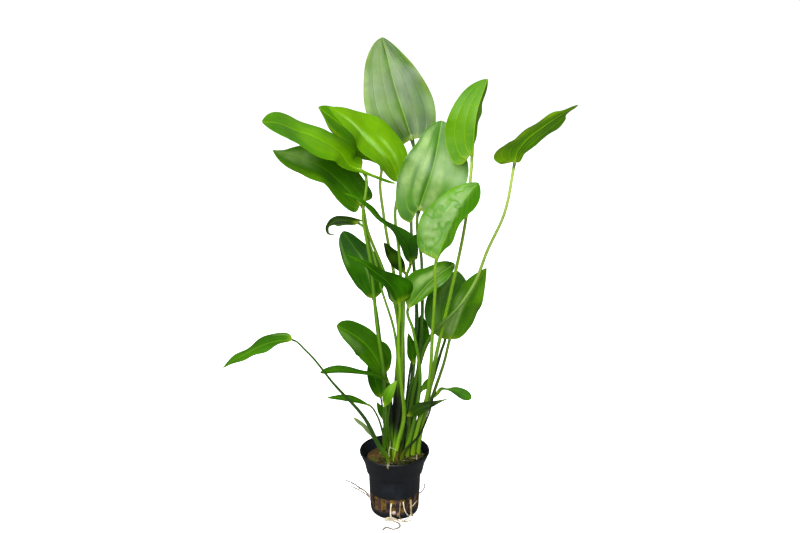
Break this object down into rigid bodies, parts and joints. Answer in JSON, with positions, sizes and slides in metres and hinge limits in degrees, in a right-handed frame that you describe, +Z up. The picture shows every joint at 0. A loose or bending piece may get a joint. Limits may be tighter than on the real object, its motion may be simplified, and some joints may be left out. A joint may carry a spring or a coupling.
{
  "type": "potted echinodorus",
  "caption": "Tall aquatic plant: long-stalked leaves rise from a crown in a black slotted nursery pot that stands on its flat foot, with roots growing out of the slots.",
  "frame": {"origin": "middle of the pot's foot, on the surface it stands on", "axes": "+Z up along the pot's axis, -Y the side that most of the leaves face, +X to the right seen from that side"},
  "size_m": [0.4138, 0.2085, 0.5993],
  "materials": {
    "pot": "matte",
    "growing_medium": "rough",
    "crown": "rough",
    "leaf_blade": "satin",
    "leaf_stalk": "satin",
    "young_leaf": "satin",
    "root": "matte"
  },
  "bodies": {
    "root": {"pot": "pot", "growing_medium": "growing_medium", "crown": "crown", "leaf_stalk_01": "leaf_stalk", "leaf_blade_01": "leaf_blade", "leaf_stalk_02": "leaf_stalk", "leaf_blade_02": "leaf_blade", "leaf_stalk_03": "leaf_stalk", "leaf_blade_03": "leaf_blade", "leaf_stalk_04": "leaf_stalk", "leaf_blade_04": "leaf_blade", "leaf_stalk_05": "leaf_stalk", "leaf_blade_05": "leaf_blade", "leaf_stalk_06": "leaf_stalk", "leaf_blade_06": "leaf_blade", "leaf_stalk_07": "leaf_stalk", "leaf_blade_07": "leaf_blade", "leaf_stalk_08": "leaf_stalk", "leaf_blade_08": "leaf_blade", "leaf_stalk_09": "leaf_stalk", "leaf_blade_09": "leaf_blade", "leaf_stalk_10": "leaf_stalk", "leaf_blade_10": "leaf_blade", "leaf_stalk_11": "leaf_stalk", "leaf_blade_11": "leaf_blade", "leaf_stalk_12": "leaf_stalk", "leaf_blade_12": "leaf_blade", "leaf_stalk_13": "leaf_stalk", "leaf_blade_13": "leaf_blade", "leaf_stalk_14": "leaf_stalk", "leaf_blade_14": "leaf_blade", "leaf_stalk_15": "leaf_stalk", "leaf_blade_15": "leaf_blade", "leaf_stalk_16": "leaf_stalk", "leaf_blade_16": "leaf_blade", "leaf_stalk_17": "leaf_stalk", "leaf_blade_17": "leaf_blade", "leaf_stalk_18": "leaf_stalk", "leaf_blade_18": "leaf_blade", "leaf_stalk_19": "leaf_stalk", "leaf_blade_19": "leaf_blade", "young_leaf_01": "young_leaf", "young_leaf_02": "young_leaf", "young_leaf_03": "young_leaf", "young_leaf_04": "young_leaf", "young_leaf_05": "young_leaf", "young_leaf_06": "young_leaf", "young_leaf_07": "young_leaf", "young_leaf_08": "young_leaf", "young_leaf_09": "young_leaf", "young_leaf_10": "young_leaf", "young_leaf_11": "young_leaf", "root_left_long": "root", "root_left_short": "root", "root_right": "root", "root_front_long": "root", "root_front_middle": "root", "root_front_right": "root", "root_bundle": "root"}
  },
  "joints": []
}
